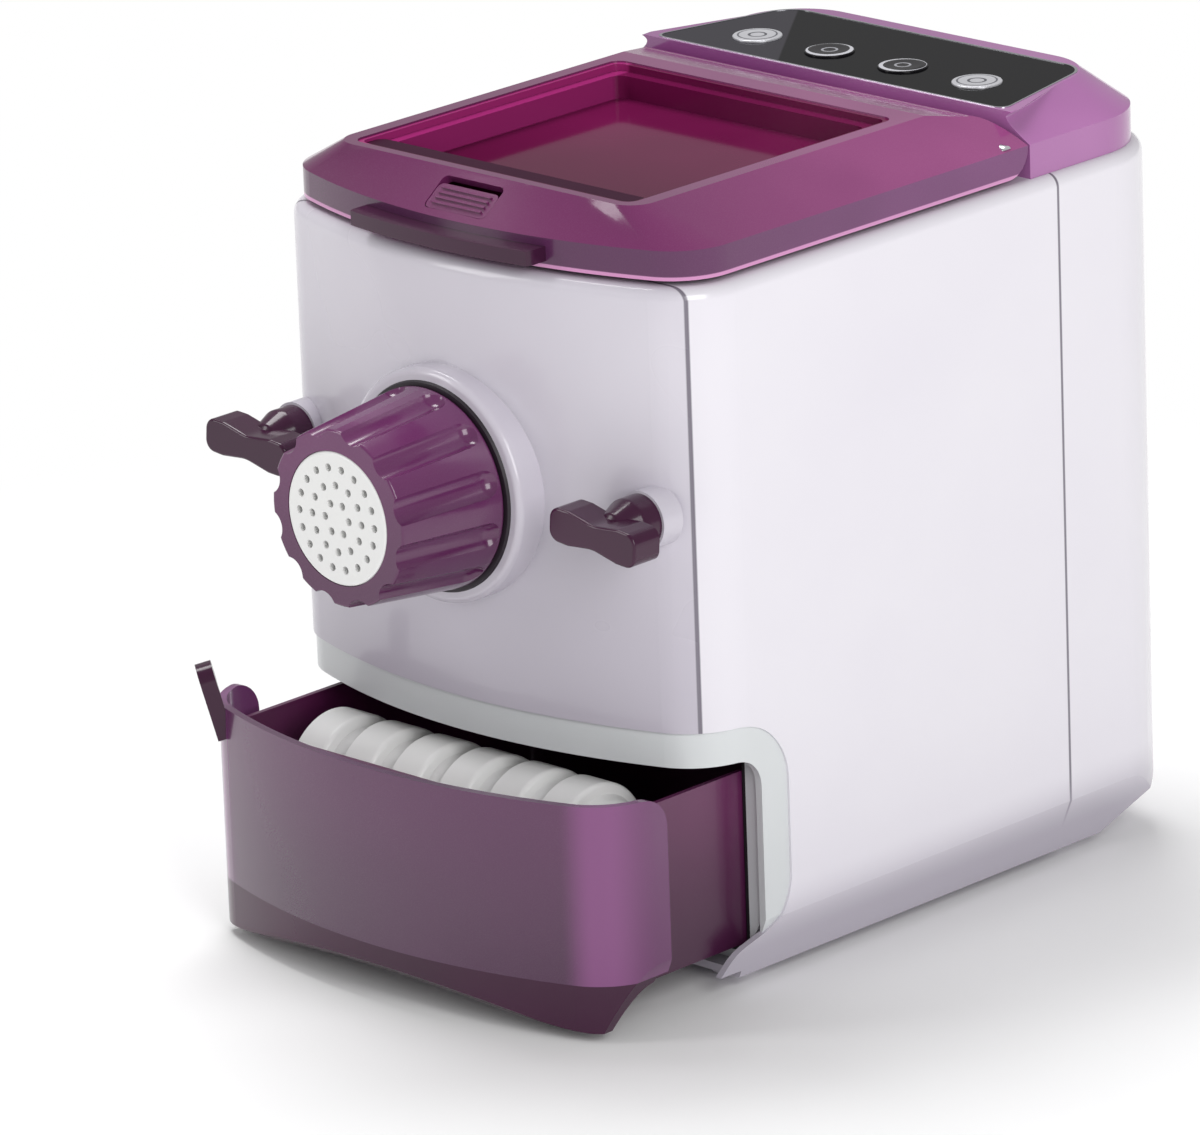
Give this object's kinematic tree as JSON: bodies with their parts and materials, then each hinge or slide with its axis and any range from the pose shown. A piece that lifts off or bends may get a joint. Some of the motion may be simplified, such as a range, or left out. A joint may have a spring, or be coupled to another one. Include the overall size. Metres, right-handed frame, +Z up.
{
  "type": "electric noodle maker",
  "caption": "Countertop noodle machine with a hinged windowed lid, sloped crown, key panel, fluted extrusion nozzle clamped by wing nuts and a pull-out drawer of shaping dies.",
  "frame": {"origin": "on the resting plane, under the middle of the machine as it stands with the drawer drawn out", "axes": "+Z up, the front with the nozzle faces -Y, +X to the right as seen from the front"},
  "size_m": [0.2182, 0.3476, 0.296],
  "materials": {
    "white_shell": "glossy white moulding with a faint lavender cast",
    "panel_grey": "satin light grey front moulding",
    "frame_grey": "light grey drawer frame",
    "bay_black": "black bay liner",
    "runner_white": "slippery nylon",
    "tray_plum": "deep plum tray",
    "drawer_purple": "pearl purple drawer front",
    "dark_plum": "dark plum",
    "die_white": "food grade white",
    "rubber_grey": "soft light foot",
    "seal_rubber": "dark seal",
    "chamber_clear": "smooth food grade trough",
    "barrel_white": "moulded barrel",
    "collar_silver": "pearl white ring",
    "cap_purple": "deep purple with a pearl sheen",
    "steel": "turned steel",
    "gear_nylon": "natural acetal",
    "case_grey": "glass filled nylon",
    "motor_zinc": "plated can",
    "fan_black": "black fan",
    "lid_purple": "pearl purple lid top",
    "rim_purple": "darker purple rim",
    "wine_window": "wine tinted window pan",
    "smoked_strip": "smoked strip",
    "lug_white": "hinge lugs",
    "console_lilac": "lilac purple housing",
    "glass_black": "black printed glass",
    "trim_silver": "bright trim",
    "key_silver": "satin silver key",
    "key_black": "black key",
    "board_green": "circuit board",
    "switch_black": "switch bodies",
    "component_dark": "components",
    "pin_brass": "inlet pins"
  },
  "bodies": {
    "body": {"main_housing": "white_shell", "rear_cover": "white_shell", "base_tray": "white_shell", "front_panel": "panel_grey", "drawer_frame": "frame_grey", "bay_face": "frame_grey", "bay_liner": "bay_black", "bay_supports": "bay_black", "drawer_rails": "runner_white", "rubber_feet": "rubber_grey", "mixing_chamber": "chamber_clear", "shaft_seal": "seal_rubber", "extrusion_barrel": "barrel_white", "collar_ring": "collar_silver", "nozzle_gasket": "seal_rubber", "die_disc": "die_white", "idler_shaft": "steel", "gearbox_case": "case_grey", "shaft_bearings": "steel", "motor_case": "motor_zinc", "clamp_studs": "steel", "hinge_lugs": "lug_white", "hinge_pin": "steel", "control_housing": "console_lilac", "control_glass": "glass_black", "glass_trim": "trim_silver", "key_board": "board_green", "key_switches": "switch_black", "power_board": "board_green", "board_stands": "case_grey", "board_parts": "component_dark", "power_inlet": "fan_black", "inlet_pins": "pin_brass"},
    "drawer": {"drawer_tray": "tray_plum", "drawer_front": "drawer_purple", "drawer_skirt": "dark_plum", "drawer_ear": "dark_plum", "die_rack": "tray_plum", "spare_dies": "die_white"},
    "lid": {"lid_rim": "rim_purple", "lid_crown": "lid_purple", "lid_window": "wine_window", "window_strip": "smoked_strip", "lid_grip": "dark_plum"},
    "latch": {"lid_latch": "lid_purple"},
    "cap": {"nozzle_cap": "cap_purple"},
    "nut_left": {"wing_nut_left": "dark_plum"},
    "nut_right": {"wing_nut_right": "dark_plum"},
    "key_1": {"key_1": "key_silver"},
    "key_2": {"key_2": "key_black"},
    "key_3": {"key_3": "key_black"},
    "key_4": {"key_4": "key_silver"},
    "mixer": {"extrusion_screw": "barrel_white", "mixing_rotor": "barrel_white", "drive_shaft": "steel", "output_gear": "gear_nylon"},
    "idler": {"idler_gear": "gear_nylon"},
    "rotor": {"motor_pinion": "steel", "motor_shaft": "steel", "cooling_fan": "fan_black"}
  },
  "joints": [
    {"name": "mixer_turn", "type": "hinge", "parent": "body", "child": "mixer", "pos_m": [0, 0.00578, 0.186], "axis": [0, -1, 0], "continuous": true},
    {"name": "idler_turn", "type": "hinge", "parent": "body", "child": "idler", "pos_m": [0, 0.08578, 0.12975], "axis": [0, -1, 0], "continuous": true},
    {"name": "motor_turn", "type": "hinge", "parent": "body", "child": "rotor", "pos_m": [0.04275, 0.09578, 0.12975], "axis": [0, -1, 0], "continuous": true},
    {"name": "lid_hinge", "type": "hinge", "parent": "body", "child": "lid", "pos_m": [0, 0.07578, 0.2825], "axis": [-1, 0, 0], "range_deg": [0, 80]},
    {"name": "latch_slide", "type": "slide", "parent": "lid", "child": "latch", "axis": [0, 0.8107, 0.5855], "range_m": [0, 0.003], "stiffness_N_per_m": 300, "springref_m": -0.001},
    {"name": "drawer_slide", "type": "slide", "parent": "body", "child": "drawer", "axis": [0, -1, 0], "range_m": [-0.05, 0.06]},
    {"name": "cap_turn", "type": "hinge", "parent": "body", "child": "cap", "pos_m": [0, -0.14422, 0.186], "axis": [0, -1, 0], "range_deg": [0, 270]},
    {"name": "nut_left_turn", "type": "hinge", "parent": "body", "child": "nut_left", "pos_m": [-0.088, -0.12122, 0.186], "axis": [0, -1, 0], "continuous": true},
    {"name": "nut_right_turn", "type": "hinge", "parent": "body", "child": "nut_right", "pos_m": [0.088, -0.12122, 0.186], "axis": [0, -1, 0], "continuous": true},
    {"name": "key_1_press", "type": "slide", "parent": "body", "child": "key_1", "axis": [0, 0, -1], "range_m": [0, 0.0012], "stiffness_N_per_m": 400, "springref_m": -0.0008},
    {"name": "key_2_press", "type": "slide", "parent": "body", "child": "key_2", "axis": [0, 0, -1], "range_m": [0, 0.0012], "stiffness_N_per_m": 400, "springref_m": -0.0008},
    {"name": "key_3_press", "type": "slide", "parent": "body", "child": "key_3", "axis": [0, 0, -1], "range_m": [0, 0.0012], "stiffness_N_per_m": 400, "springref_m": -0.0008},
    {"name": "key_4_press", "type": "slide", "parent": "body", "child": "key_4", "axis": [0, 0, -1], "range_m": [0, 0.0012], "stiffness_N_per_m": 400, "springref_m": -0.0008}
  ],
  "couplings": [
    {"joint": "idler_turn", "follows": "mixer_turn", "ratio": -4},
    {"joint": "motor_turn", "follows": "mixer_turn", "ratio": 15}
  ]
}
